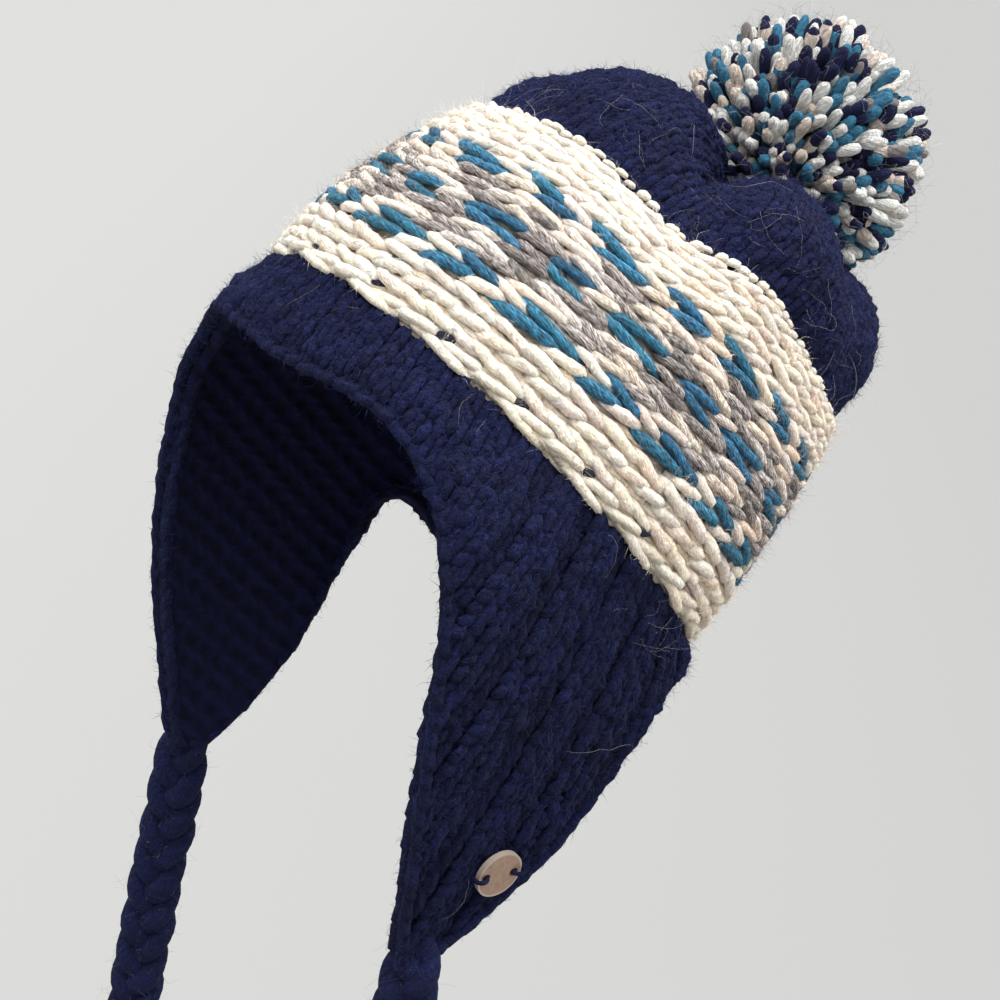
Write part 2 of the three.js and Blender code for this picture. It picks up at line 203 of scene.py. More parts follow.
class Skin:  # a fine grid of a surface, read at any angle and place
    def __init__(self, form, around=720, down=160):
        angles, places = np.meshgrid(np.linspace(0, 360, around, endpoint=False), np.linspace(0, 1, down + 1))
        self.spot = form(angles, places)
        du = np.roll(self.spot, -1, 1) - np.roll(self.spot, 1, 1)
        normal = unit(np.cross(du, np.gradient(self.spot, axis=0)))
        inside = hatSpot(0.0, 20.0, 0.0)  # normals point away from here
        self.normal = normal * np.sign(np.mean(np.sum(normal * (self.spot - inside), -1)))
        self.around, self.down = around, down

    def read(self, angle, v):
        angle, v = np.broadcast_arrays(angle, v)
        x = np.mod(angle, 360) / 360 * self.around
        y = np.clip(v, 0, 1) * self.down
        i, j = np.floor(x).astype(int) % self.around, np.minimum(np.floor(y).astype(int), self.down - 1)
        fx, fy = (x - np.floor(x))[..., None], (y - j)[..., None]
        k = (i + 1) % self.around

        def mix(g):
            return (g[j, i] * (1 - fx) + g[j, k] * fx) * (1 - fy) + (g[j + 1, i] * (1 - fx) + g[j + 1, k] * fx) * fy
        return mix(self.spot), unit(mix(self.normal))

    def girth(self, v):  # distance round the hat at a place, with the angles it belongs to
        angles = np.linspace(0, 360, self.around + 1)
        return pathRun(self.read(angles, v)[0]), angles


def addPiece(name, data):
    piece = bpy.data.objects.new(name, data)
    bpy.context.scene.collection.objects.link(piece)
    return piece

def meshFromFaces(name, spots, faces, material):  # faces: list of index arrays with one row for each face
    mesh = bpy.data.meshes.new(name)
    mesh.vertices.add(len(spots))
    mesh.vertices.foreach_set("co", (np.asarray(spots, np.float32) * mm).ravel())
    corners = np.concatenate([f.ravel() for f in faces]).astype(np.int32)
    sizes = np.concatenate([np.full(len(f), f.shape[1]) for f in faces]).astype(np.int32)
    starts = np.concatenate([[0], np.cumsum(sizes)[:-1]]).astype(np.int32)
    mesh.loops.add(len(corners))
    mesh.loops.foreach_set("vertex_index", corners)
    mesh.polygons.add(len(sizes))
    mesh.polygons.foreach_set("loop_start", starts)
    mesh.polygons.foreach_set("loop_total", sizes)
    mesh.polygons.foreach_set("use_smooth", np.ones(len(sizes), bool))
    mesh.update(calc_edges=True)
    mesh.validate()
    mesh.materials.append(material)
    return addPiece(name, mesh)


def ringQuads(first, count):  # faces from rings to the next ones; first: number of each ring's first point
    k = np.arange(count)
    n = (k + 1) % count
    return np.stack([first + k, first + count + k, first + count + n, first + n], -1).reshape(-1, 4)


def addColours(piece, colours, spots):  # the tint's alpha is the share of marl in the yarn
    tint = piece.data.attributes.new("yarnTint", "FLOAT_COLOR", "POINT")
    tint.data.foreach_set("color", colours.astype(np.float32).ravel())
    spot = piece.data.attributes.new("yarnSpot", "FLOAT_VECTOR", "POINT")
    spot.data.foreach_set("vector", spots.astype(np.float32).ravel())


def yarnTubes(name, path, up, radius, tint, sides, material, rough=0.0):
    # path and up: strand, point, xyz; radius: strand, point; tint: strand, rgb and marl
    strands, points = path.shape[:2]
    tangent = unit(np.gradient(path, axis=1))
    side = unit(np.cross(tangent, up))
    lift = np.cross(side, tangent)
    turn = 2 * math.pi * np.arange(sides) / sides
    c, s = np.cos(turn), np.sin(turn)
    ring = side[:, :, None] * c[:, None] + lift[:, :, None] * s[:, None]
    knobs = dice.normal(0, 1, (strands, points, sides)) * rough
    knobs = (knobs + np.roll(knobs, 1, 2)) * (radius / radius.max())[:, :, None]
    spots = path[:, :, None] + ring * (radius[:, :, None] * (1 + knobs))[..., None]
    first = (np.arange(strands) * points * sides)[:, None]
    quads = ringQuads((first + np.arange(points - 1) * sides)[..., None], sides)
    foot = first + np.arange(sides)
    head = first + (points - 1) * sides + np.arange(sides)[::-1]
    piece = meshFromFaces(name, spots.reshape(-1, 3), [quads, foot, head], material)
    steps = np.linalg.norm(np.diff(path, axis=1), axis=2)
    along = np.concatenate([np.zeros((strands, 1)), np.cumsum(steps, 1)], 1) + 37.3 * np.arange(strands)[:, None]
    marks = np.stack(np.broadcast_arrays(c[None, None], s[None, None], along[:, :, None]), -1)
    colours = np.broadcast_to(tint[:, None, None], spots.shape[:3] + (4,))
    addColours(piece, colours.reshape(-1, 4), marks.reshape(-1, 3))
    return piece


def woolTufts(name, legs, look, material):  # short fibres that lie along the yarn and rise a little from it
    path, up, radius, tint = legs.arrays()
    count = look["count"]
    pick = dice.integers(0, len(path), count)
    place = dice.uniform(*look["ends"], count) * (path.shape[1] - 1)
    i = place.astype(int)
    share = (place - i)[:, None]
    tangent = unit(path[pick, i + 1] - path[pick, i])
    side = unit(np.cross(tangent, up[pick, i]))
    lift = np.cross(side, tangent)
    turn = math.pi * dice.uniform(0.04, 0.96, count)[:, None]  # on the yarn's outer half
    out = side * np.cos(turn) + lift * np.sin(turn)
    rooted = out * (radius[pick, i] * 0.93)[:, None]  # just under the yarn's surface
    foot = path[pick, i] * (1 - share) + path[pick, i + 1] * share + rooted
    heading = (dice.normal(0, look["wander"], count) + math.pi * dice.integers(0, 2, count))[:, None]
    raised = dice.uniform(*look["raised"], count)[:, None]
    flat = tangent * np.cos(heading) + np.cross(tangent, out) * np.sin(heading)
    aim = flat * np.cos(raised) + out * np.sin(raised)
    long = dice.uniform(*look["long"], count)[:, None]
    later = unit(aim + look["curl"] * dice.normal(0, 1, (count, 3)) - 0.5 * look["curl"] * out)
    middle = foot + aim * long * 0.5
    tip = middle + later * long * 0.5
    first = unit(np.cross(out + 0.01, aim))
    second = np.cross(aim, first)
    thin = look["thin"] * dice.uniform(0.7, 1.3, count)[:, None]
    corners = [first * math.cos(a) + second * math.sin(a) for a in (0, 2 * math.pi / 3, 4 * math.pi / 3)]
    rings = [foot + c * thin for c in corners] + ([middle + c * thin * 0.8 for c in corners] if look["bent"] else [])
    spots = np.stack(rings + [tip], 1)
    each = spots.shape[1]
    base = (np.arange(count) * each)[:, None]
    upper = each - 4
    k, n = np.array([0, 1, 2]), np.array([1, 2, 0])
    faces = [base + np.array([2, 1, 0])]
    faces += [base + np.array([upper + k[c], upper + n[c], each - 1]) for c in range(3)]
    if look["bent"]:
        faces += [base + np.array([k[c], n[c], 3 + n[c], 3 + k[c]]) for c in range(3)]
    piece = meshFromFaces(name, spots.reshape(-1, 3), faces, material)
    tone = np.repeat(dice.uniform(*look["tone"], (count, 1)), 3, 1)
    colours = tint[pick] * np.concatenate([tone, np.ones((count, 1))], 1)
    marks = np.stack([np.ones(count), np.zeros(count), dice.uniform(0, 900, count)], 1)
    addColours(piece, np.repeat(colours, each, 0), np.repeat(marks, each, 0))
    return piece


# Materials
class Wire:  # a node's output, which can be used in sums and read through other nodes
    def __init__(self, tree, socket):
        self.tree, self.socket = tree, socket

    def math(self, operation, other=0.0):
        return addNode(self.tree, "ShaderNodeMath", 0, operation=operation, in0=self, in1=other)

    def __add__(self, other):
        return self.math("ADD", other)

    def __sub__(self, other):
        return self.math("SUBTRACT", other)

    def __mul__(self, other):
        return self.math("MULTIPLY", other)

    def span(self, low, high, first, last):
        return addNode(self.tree, "ShaderNodeMapRange", 0, Value=self, From_Min=low, From_Max=high,
                       To_Min=first, To_Max=last)

    def vector(self, operation, output=0, **values):
        return addNode(self.tree, "ShaderNodeVectorMath", output, operation=operation, in0=self, **values)

    def noise(self, scale, detail=2.0, twisted=0.0):
        return addNode(self.tree, "ShaderNodeTexNoise", "Fac", Vector=self, Scale=scale, Detail=detail,
                       Distortion=twisted)

    def ramp(self, stops, kind="LINEAR"):  # places and colours
        made = addNode(self.tree, "ShaderNodeValToRGB", in0=self)
        made.color_ramp.interpolation = kind
        while len(made.color_ramp.elements) < len(stops):
            made.color_ramp.elements.new(0.5)
        for stop, (place, colour) in zip(made.color_ramp.elements, stops):
            stop.position = place
            stop.color = colour[:3] + (1,)
        return Wire(self.tree, made.outputs["Color"])


def fill(made, **values):  # settings by name, inputs by name or as in0, in1, with values or wires
    for key, value in values.items():
        if hasattr(made, key):
            setattr(made, key, value)
            continue
        socket = made.inputs[int(key[2:]) if key[2:].isdigit() else key.replace("_", " ")]
        if isinstance(value, Wire):
            value.tree.links.new(value.socket, socket)
        else:
            socket.default_value = value


def addNode(tree, kind, output=None, **values):  # the node, or a wire from one of its outputs
    made = tree.nodes.new(kind)
    fill(made, **values)
    return made if output is None else Wire(tree, made.outputs[output])


def readMark(tree, name, output):
    return addNode(tree, "ShaderNodeAttribute", output, attribute_name=name)


def newMaterial(name):  # with its shader and the place on the object
    material = bpy.data.materials.new(name)
    material.use_nodes = True
    tree = material.node_tree
    return material, tree.nodes["Principled BSDF"], addNode(tree, "ShaderNodeTexCoord", "Object")


def woolSurface(shader, colour, height, bump, deep, sheen):
    normal = addNode(colour.tree, "ShaderNodeBump", 0, Strength=bump, Distance=deep, Height=height)
    fill(shader, Base_Color=colour, Normal=normal, Roughness=0.95, Specular_IOR_Level=0.12, Sheen_Weight=sheen,
         Sheen_Roughness=0.7)


def strandColour(tree, along, shares):  # a random yarn for each cut strand, which changes along many of them
    first = readMark(tree, "yarnPick", "Fac")
    second = (first * 7.31 + 0.21).math("FRACT")
    change = (first * 13.7).math("FRACT") * 15.0 + 20.0  # millimetres from the tied end
    pick = first + along.math("GREATER_THAN", change) * (second - first)
    return pick.ramp([(place, yarnColours[yarn]) for place, yarn in shares], "CONSTANT")


def yarnMaterial(name, look, shares=()):
    material, shader, place = newMaterial(name)
    tree = place.tree
    parts = addNode(tree, "ShaderNodeSeparateXYZ", in0=readMark(tree, "yarnSpot", "Vector"))
    x, y, along = [Wire(tree, socket) for socket in parts.outputs]
    helix = y.math("ARCTAN2", x) + along * (2 * math.pi / look["twist"])
    ply = (helix * look["plies"]).math("SINE")
    wound = addNode(tree, "ShaderNodeCombineXYZ", 0, X=helix.math("COSINE"), Y=helix.math("SINE"),
                    Z=along * look["streakRun"])
    streak = wound.noise(look["streakScale"], 3.0)  # follows the twist
    fine = place.noise(look["fibreScale"], 3.0)
    cloud = place.noise(look["cloudScale"])
    lump = place.noise(look["lumpScale"], 1.0)
    tangle = place.noise(look["curlScale"], 2.0, 2.5) - 0.5
    curl = tangle.math("ABSOLUTE").span(0.0, 0.05, 1.0, 0.0)  # thin winding lines, like loose wool
    # painted shade: the colour is darker in the ply grooves and in fine specks among the fibres; the streaks are partly
    # the marl's own tone and partly painted shade between fibres; the cloud is random tone
    shade = ply.span(-1.0, 1.0, look["grooveShade"], 1.0)
    for value, low in ((fine, look["speckShade"]), (cloud, look["drift"]), (streak, look["streak"])):
        shade = shade * value.span(0.3, 0.7, low, look["lightest"] - low)
    marl = (streak.span(0.40, 0.61, 0.15, 2.0) - 1.0) * readMark(tree, "yarnTint", "Alpha") + 1.0
    colour = strandColour(tree, along, shares) if shares else readMark(tree, "yarnTint", "Color")
    colour = colour.vector("SCALE", Scale=shade * marl * (curl * look["curl"] + 1.0))
    height = ply * look["plyHeight"] + fine
    for value, size in ((streak, "streakHeight"), (lump, "lumpHeight"), (curl, "curlHeight")):
        height = height + value * look[size]
    woolSurface(shader, colour, height, look["bump"], 0.0008, look["sheen"])
    fill(shader, Sheen_Tint=look["sheenTint"] + (1,), Subsurface_Weight=look["through"],
         Subsurface_Radius=(1.0, 0.62, 0.36), Subsurface_Scale=0.004)
    return material


def liningMaterial(name, look):  # the fabric's wall behind the stitches, rows of purl bumps inside the hat
    material, shader, place = newMaterial(name)
    axes = ((1, 0, 0), (0, sinLean, cosLean), (0, -cosLean, sinLean))
    side, along, front = [place.vector("DOT_PRODUCT", "Value", in1=axis) for axis in axes]
    row = along * (2 * math.pi / (look["rowTall"] * mm))
    column = side.math("ARCTAN2", front) * look["columns"] + (row * 0.5).math("SINE") * 1.2
    ridge = row.math("COSINE")
    ridge = ridge + ridge * column.math("COSINE") * 0.6
    lump = place.noise(240.0)
    # painted light and shade: the ridge tops take the lit colour and the troughs the deep colour; the lumps add random
    # tone
    tone = ridge.span(-1.6, 1.6, 0.0, 0.8) + lump.span(0.3, 0.7, -0.2, 0.4)
    colour = tone.ramp([(0.0, look["deep"]), (1.0, look["lit"])])
    woolSurface(shader, colour, ridge + (place.noise(1400.0, 3.0) + lump), 0.9, 0.001, look["sheen"])
    return material


def fibreMaterial(name, colour):
    material, shader, place = newMaterial(name)
    dark, light = [tuple(share * c for c in colour) for share in (0.7, 1.25)]
    fill(shader, Base_Color=place.noise(300.0).ramp([(0.3, dark), (0.7, light)]), Roughness=0.7, Sheen_Weight=0.3)
    return material


def tuftMaterial(name, sheen):
    material, shader, place = newMaterial(name)
    grain = place.noise(500.0).span(0.3, 0.7, 0.8, 1.15)
    colour = readMark(place.tree, "yarnTint", "Color").vector("SCALE", Scale=grain)
    fill(shader, Base_Color=colour, Roughness=0.9, Specular_IOR_Level=0.15, Sheen_Weight=sheen)
    return material


yarnColours = {  # linear values and the share of marl
    "navy": (0.0024, 0.0044, 0.0270, 0.0),
    "white": (0.92, 0.91, 0.87, 0.05),
    "cream": (0.92, 0.842, 0.715, 0.05),
    "blush": (0.86, 0.735, 0.635, 0.12),
    "pale": (0.74, 0.65, 0.57, 0.45),
    "grey": (0.275, 0.250, 0.240, 0.95),
    "teal": (0.025, 0.138, 0.238, 0.85),
    "ink": (0.0075, 0.0095, 0.052, 0.0),   # ink and aqua are for the pompom
    "aqua": (0.045, 0.195, 0.325, 0.0),
}

yarnLook = {  # what the yarns share; lengths along the yarn in millimetres
    "plies": 3, "fibreScale": 1500.0, "cloudScale": 60.0, "lumpScale": 520.0, "curlScale": 430.0, "curlHeight": 0.8,
    "streakHeight": 1.6, "through": 0.0,
}
bandYarn = yarnMaterial("bandYarn", {
    **yarnLook, "twist": 45.0, "streakRun": 0.075, "streakScale": 7.0, "streak": 0.72, "streakHeight": 1.3,
    "lumpHeight": 2.0, "grooveShade": 0.99, "speckShade": 0.89, "drift": 0.95, "plyHeight": 0.05, "curl": 0.04, "bump": 0.8,
    "lightest": 1.96, "through": 0.2, "sheen": 0.07, "sheenTint": (1.0, 0.97, 0.92)})
navyYarn = yarnMaterial("navyYarn", {
    **yarnLook, "plies": 2, "twist": 16.0, "streakRun": 0.12, "streakScale": 1.8, "streak": 0.55, "fibreScale": 1300.0,
    "cloudScale": 55.0, "lumpHeight": 3.4, "grooveShade": 0.9, "speckShade": 0.4, "drift": 0.75, "plyHeight": 0.2,
    "curlScale": 420.0, "curl": 1.2, "curlHeight": 2.6, "bump": 1.0, "lightest": 2.0, "sheen": 0.05,
    "sheenTint": (0.35, 0.42, 1.0)})
navyLining = liningMaterial("navyLining", {
    "columns": 60, "rowTall": 7.0, "lit": (0.0058, 0.007, 0.0355), "deep": (0.0015, 0.002, 0.0115), "sheen": 0.0})
# the band's wall is coloured warm brown, much darker than its yarns: painted shade where it shows between the strands
shadedBandLining = liningMaterial("shadedBandLining", {
    "columns": 60, "rowTall": 7.0, "lit": (0.62, 0.53, 0.43), "deep": (0.27, 0.225, 0.18), "sheen": 0.04})
navyFibre = fibreMaterial("navyFibre", (0.011, 0.013, 0.058))
hairFibre = fibreMaterial("hairFibre", (0.46, 0.44, 0.46))
paleTuft = tuftMaterial("paleTuft", 0.1)
navyTuft = tuftMaterial("navyTuft", 0.05)
print("materials made")


# Camera at the photo's angle
cameraView = {
    "azimuth": 47.01, "elevation": 20.81, "roll": 12.83,  # degrees, roll turns the scene clockwise
    "place": (0.4569, -0.4160, 0.2254),
    "focalShare": 2.0595,  # focal length in image widths
}


def makeCamera():
    az, el, roll = [math.radians(cameraView[key]) for key in ("azimuth", "elevation", "roll")]
    back = Vector((math.sin(az) * math.cos(el), -math.cos(az) * math.cos(el), math.sin(el)))
    right = Vector((math.cos(az), math.sin(az), 0))
    up = back.cross(right)
    turnedRight = right * math.cos(roll) + up * math.sin(roll)
    turnedUp = up * math.cos(roll) - right * math.sin(roll)
    lens = bpy.data.cameras.new("photoCamera")
    lens.sensor_width = 36
    lens.lens = lens.sensor_width * cameraView["focalShare"]
    lens.clip_start = 0.01
    pose = Matrix((turnedRight, turnedUp, back)).transposed().to_4x4()
    pose.translation = cameraView["place"]
    bpy.context.scene.camera = addPiece("photoCamera", lens)
    bpy.context.scene.camera.matrix_world = pose


makeCamera()

# Skins of the three fabric parts
bandForm = Skin(bandSkin)
crownForm = Skin(crownSkin)
flapForm = Skin(flapSkin)
print("skins measured")


# Walls behind the stitches
wallSizes = {
    "around": 180, "bandSink": 4.0, "navySink": 3.0, "inside": 7.2,
    "nose": 0.9, "noseSlope": 0.6,  # the flaps' hem stands past the skin and is narrower than the wall
    "lap": 0.06,                    # share of the band that a neighbour's wall reaches into
}
hemRun, hemAngles = flapForm.girth(1.0)
wallAngles = np.interp(np.linspace(0, hemRun[-1], wallSizes["around"], endpoint=False), hemRun, hemAngles)


def hemEdge(angle):  # the hem with its outward and downward directions
    spot, normal = flapForm.read(angle, 1.0)
    return spot, normal, unit(spot - flapForm.read(angle, 0.97)[0])


def wallLoops(form, rows, high, sink):
    rings = [form.read(wallAngles, v) for v in np.linspace(0, high, rows)]
    return [[spot - normal * deep for spot, normal in rings] for deep in (sink, wallSizes["inside"])]


def lapLoop(place):  # a loop inside the band's wall that carries a neighbour's wall on past its edge
    spot, normal = bandForm.read(wallAngles, place)
    return spot - normal * (wallSizes["bandSink"] + wallSizes["inside"]) / 2


def loftLoops(name, loops, closed, material):
    count = len(loops[0])
    spots = np.concatenate(loops)
    first = np.arange(len(loops) if closed else len(loops) - 1)[:, None] * count
    faces = [ringQuads(first, count)[:, [0, 3, 2, 1]] % len(spots)]
    if not closed:  # poles close the two end loops
        spots = np.concatenate([spots, [loops[0].mean(0)], [loops[-1].mean(0)]])
        k = np.arange(count)
        n = (k + 1) % count
        last = (len(loops) - 1) * count
        faces.append(np.stack([n, k, np.full(count, len(spots) - 2)], 1))
        faces.append(np.stack([last + k, last + n, np.full(count, len(spots) - 1)], 1))
    return meshFromFaces(name, spots, faces, material)


def makeWalls():
    outer, inner = wallLoops(bandForm, 16, 1, wallSizes["bandSink"])
    band = loftLoops("bandWall", outer + inner[::-1], True, shadedBandLining)
    outer, inner = wallLoops(crownForm, 26, 0.985, wallSizes["navySink"])
    crown = loftLoops("crownWall", inner[::-1] + [lapLoop(1 - wallSizes["lap"])] + outer, False, navyLining)
    outer, inner = wallLoops(flapForm, 20, 0.99, wallSizes["navySink"])
    spot, normal, down = hemEdge(wallAngles)
    spot = spot + down * wallSizes["nose"]
    nose = [spot - normal * deep for deep in (wallSizes["inside"] - wallSizes["noseSlope"], wallSizes["navySink"])]
    flaps = loftLoops("flapWall", [lapLoop(wallSizes["lap"])] + inner + nose + outer[::-1], True, navyLining)
    return band, crown, flaps


bandWall, crownWall, flapWall = makeWalls()
print("walls made")


# Stitches of the band: long legs of yarn that run round the hat, two legs to a chain
bandKnit = {
    "repeats": 10,                      # repeats of the pattern round the hat, two stitches in each
    "plump": 0.465, "thinnest": 1.65, "thickest": 1.92,  # radius by the distance between rows, and its limits
    "points": 9, "sides": 6, "rough": 0.08,
    "tuck": 3.7,                        # length of a leg hidden under its neighbours at each end
    "meet": 0.95, "part": 0.75,         # a leg starts nearer to its chain's middle and ends further from it
    "start": -3.8, "crest": -1.6, "end": -4.5, "rise": 0.25, "fall": 0.72,
    "loose": (2.6, 0.8, 0.8, 0.16, 0.9, 0.25),  # how far a leg may slide, shift, rise, swell, tilt and wind
    "frontDip": 0.045,                  # the middle rows run lower over the brow
    "edge": 0.004,                      # legs keep this share of the band away from its edges
    "underYarn": 1.5, "underDepth": 1.6, "underTurn": 3.5,  # thinner legs that show between the rows
    # the under legs' tint makes them darker and warmer than their yarn: painted shade between the rows, with a warm
    # cast
    "underShade": (0.96, 0.87, 0.77, 1.0),
}

# rows from the lower border up: place across the band, angle where a repeat starts, lower or upper leg,
# yarns and their shares of a repeat
plainRow = [(yarn, 1 / 6) for yarn in ("cream", "cream", "blush", "cream", "cream", "blush")]
tealRow = [("teal", 0.39), ("cream", 0.20), ("teal", 0.25), ("blush", 0.16)]
bandChart = [
    (0.026, 27.0, -1, [("cream", 0.25), ("", 0.25), ("cream", 0.25), ("", 0.25)]),
    (0.062, 12.3, 1, [("cream", 0.23), ("cream", 0.22), ("", 0.05)] * 2),
    (0.115, 17.5, -1, plainRow),
    (0.168, 22.5, 1, plainRow),
    (0.222, 26.0, -1, [("cream", 0.25), ("blush", 0.25)] * 2),
    (0.280, 31.5, 1, tealRow),
    (0.332, 36.0, -1, tealRow),
    (0.378, 31.5, 1, [("blush", 0.36), ("grey", 0.20), ("pale", 0.25), ("grey", 0.19)]),
    (0.420, 35.5, -1, [("pale", 0.31), ("grey", 0.24), ("pale", 0.26), ("grey", 0.19)]),
    (0.458, 25.0, 1, [("grey", 0.33), ("grey", 0.38), ("pale", 0.29)]),
    (0.499, 48.5, -1, [("teal", 0.40), ("grey", 0.17), ("teal", 0.28), ("grey", 0.15)]),
    (0.546, 48.5, 1, [("teal", 0.40), ("grey", 0.17), ("teal", 0.28), ("pale", 0.15)]),
    (0.584, 36.0, -1, [("pale", 0.30), ("grey", 0.28), ("pale", 0.18), ("grey", 0.24)]),
    (0.618, 30.0, 1, [("blush", 0.33), ("grey", 0.28), ("pale", 0.22), ("grey", 0.17)]),
    (0.656, 31.0, -1, [("pale", 0.26), ("grey", 0.42), ("blush", 0.32)]),
    (0.697, 37.5, 1, [("teal", 0.37), ("pale", 0.19), ("teal", 0.25), ("blush", 0.19)]),
    (0.744, 34.0, -1, [("teal", 0.35), ("cream", 0.21), ("teal", 0.26), ("blush", 0.18)]),
    (0.790, 48.0, 1, plainRow),
    (0.832, 38.0, -1, [("blush", 0.25), ("cream", 0.25)] * 2),
    (0.875, 46.0, 1, plainRow),
    (0.918, 36.0, -1, [("cream", 0.3), ("blush", 0.2)] * 2),
    (0.960, 42.0, 1, plainRow),
]


def legTint(yarn, rosy=0.0):
    tint = np.array(yarnColours[yarn])
    if yarn == "grey":
        tint[:3] *= dice.uniform(0.7, 1.5) * np.array([1.03, 1.0, 0.98])
    elif yarn == "teal":
        tint[:3] *= dice.uniform(0.75, 1.2) * np.array([1.0, dice.uniform(0.9, 1.08), 1.0])
    elif yarn == "navy":
        tint[:3] *= dice.uniform(0.75, 1.3)
    else:
        warm = dice.uniform(-1, 1)
        tint[:3] *= (1 + 0.05 * dice.uniform(-1, 1)) * np.array([1 + 0.03 * warm, 1.0, 1 - 0.06 * warm])
        tint[:3] *= 1 - rosy * np.array([0.0, 0.075, 0.12])
    return tint


def legHeight(t, knit):  # a leg comes up from under its neighbour and goes down again
    up = (knit["crest"] - knit["start"]) * smoothStep(t, 0, knit["rise"])
    return knit["start"] + up + (knit["end"] - knit["crest"]) * smoothStep(t, knit["fall"], 1)


class LegList:  # legs collected for one mesh
    def __init__(self):
        self.path, self.up, self.radius, self.tint = [], [], [], []

    def add(self, path, up, radius, tint):
        self.path.append(path)
        self.up.append(np.broadcast_to(up, path.shape))
        self.radius.append(radius)
        self.tint.append(tint)

    def lay(self, form, angle, v, height, radius, tint):  # a leg that follows a skin
        spot, normal = form.read(angle, v)
        self.add(spot + normal * height[:, None], normal, radius, tint)

    def arrays(self):
        return [np.array(a) for a in (self.path, self.up, self.radius, self.tint)]

    def mesh(self, name, sides, material, rough=0.0):
        return yarnTubes(name, *self.arrays(), sides, material, rough)


def bandLegs():
    knit = bandKnit
    legs, underLegs = LegList(), LegList()
    t = np.linspace(0, 1, knit["points"])
    body = smoothStep(t, -0.12, 0.24) * (1 - smoothStep(t, 0.6, 1.08))
    places = [row[0] for row in bandChart]
    pitch = np.gradient(places)
    for row, (place, first, leg, stitches) in enumerate(bandChart):
        distance, angles = bandForm.girth(place)
        whole = distance[-1] / knit["repeats"]
        above, below = [bandForm.read(40.0, place + off)[0] for off in (0.02, -0.02)]
        across = np.linalg.norm(above - below) / 0.04  # millimetres from edge to edge
        yarnSize = np.clip(knit["plump"] * pitch[row] * across, knit["thinnest"], knit["thickest"])
        start = np.interp(first, angles, distance)
        for repeat in range(knit["repeats"]):
            at = start + repeat * whole
            for yarn, share in stitches:
                begin, long = at, share * whole
                at += long
                if not yarn:
                    continue
                slide, shift, rise, swell, tilt, wind = dice.uniform(-0.5, 0.5, 6) * knit["loose"]
                run = begin - knit["tuck"] + (long + 2 * knit["tuck"]) * t + slide
                angle = angleAt(run, distance, angles)
                lean = -leg * knit["meet"] + leg * (knit["meet"] + knit["part"]) * smoothStep(t, 0, 0.8)
                lean = lean + shift + tilt * (t - 0.5) + wind * np.sin(7 * t + repeat)
                height = legHeight(t, knit) + rise
                dip = knit["frontDip"] * (1 - smoothStep(fromFront(angle), 0, 28)) * math.sin(math.pi * place)
                v = np.clip(place - dip + lean / across, knit["edge"], 1 - knit["edge"])
                radius = yarnSize * (1 + swell) * (0.52 + 0.48 * body)
                rosy = smoothStep(fromFront(angle[4]), 15, 95) * dice.uniform(0.3, 1.0)
                legs.lay(bandForm, angle, v, height, radius, legTint(yarn, rosy))
                if row and yarn != "teal":
                    lower = (places[row - 1] - place) / 2 + 0.4 * lean / across
                    v = np.clip(place - dip + lower, knit["edge"], 1 - knit["edge"])
                    underLegs.lay(bandForm, angle[::2] + knit["underTurn"], v[::2], (height - knit["underDepth"])[::2],
                                  (radius * knit["underYarn"] / yarnSize)[::2], legTint(yarn) * knit["underShade"])
    return legs, underLegs


borderBits = {
    "beadEvery": 4.4, "beadLong": 4.0, "beadYarn": 1.15, "beadPlace": 0.009, "beadSlant": 0.012,
    "beadRise": 1.9, "beadSink": 1.7, "beadLoose": (1.6, 1.4, 0.5),  # slide, height, length
    "gapLong": 6.4, "gapYarn": 1.45, "gapPlace": 0.068, "gapSlant": 0.024, "gapRise": 2.0, "gapSink": 3.9,
    "gapBefore": 0.025,  # middle of a gap before the next stitch, share of a repeat
}


def addBorders(legs):  # small beads over the upper border and navy yarn between the lowest stitches
    bits = borderBits
    t = np.linspace(0, 1, bandKnit["points"])
    body = np.sin(math.pi * t) ** 0.5
    taper = 0.4 + 0.6 * body
    distance, angles = bandForm.girth(1.0)
    count = int(distance[-1] / bits["beadEvery"])
    for bead in range(count):
        ease = dice.uniform(-0.5, 0.5, 3)
        slide, rise, longer = ease * bits["beadLoose"]
        at = (bead + 0.5) / count * distance[-1] + slide + (t - 0.5) * bits["beadLong"] * (1 + longer)
        v = bits["beadPlace"] + 0.010 * ease[1] + bits["beadSlant"] * (t - 0.5)
        legs.lay(crownForm, angleAt(at, distance, angles), v, bits["beadRise"] * body - bits["beadSink"] + rise,
                 bits["beadYarn"] * taper * (1 + 0.5 * ease[0]), legTint("cream"))
    place, first = bandChart[1][:2]
    distance, angles = bandForm.girth(place)
    for gap in range(bandKnit["repeats"] * 2):  # where the stitches of the second row meet
        at = np.interp(first, angles, distance) + (gap / 2 - bits["gapBefore"]) / bandKnit["repeats"] * distance[-1]
        at = at + (t - 0.5) * bits["gapLong"] + dice.uniform(-1, 1)
        v = bits["gapPlace"] + bits["gapSlant"] * t + 0.01 * dice.uniform(-1, 1)
        legs.lay(bandForm, angleAt(at, distance, angles), v, bits["gapRise"] * body - bits["gapSink"],
                 bits["gapYarn"] * taper * dice.uniform(0.8, 1.15), legTint("navy"))


bandTufts = {  # millimetres and radians
    "count": 21500, "ends": (0.06, 0.92), "bent": False, "long": (1.8, 5.2), "thin": 0.065,
    "wander": 0.75, "raised": (0.03, 0.4), "curl": 0.3, "tone": (0.4, 1.4),
}
bandHairs = {
    "count": 5200, "ends": (0.06, 0.92), "bent": True, "long": (2.6, 9.0), "thin": 0.034,
    "wander": 1.4, "raised": (0.2, 1.4), "curl": 0.9, "tone": (0.5, 1.0),
}


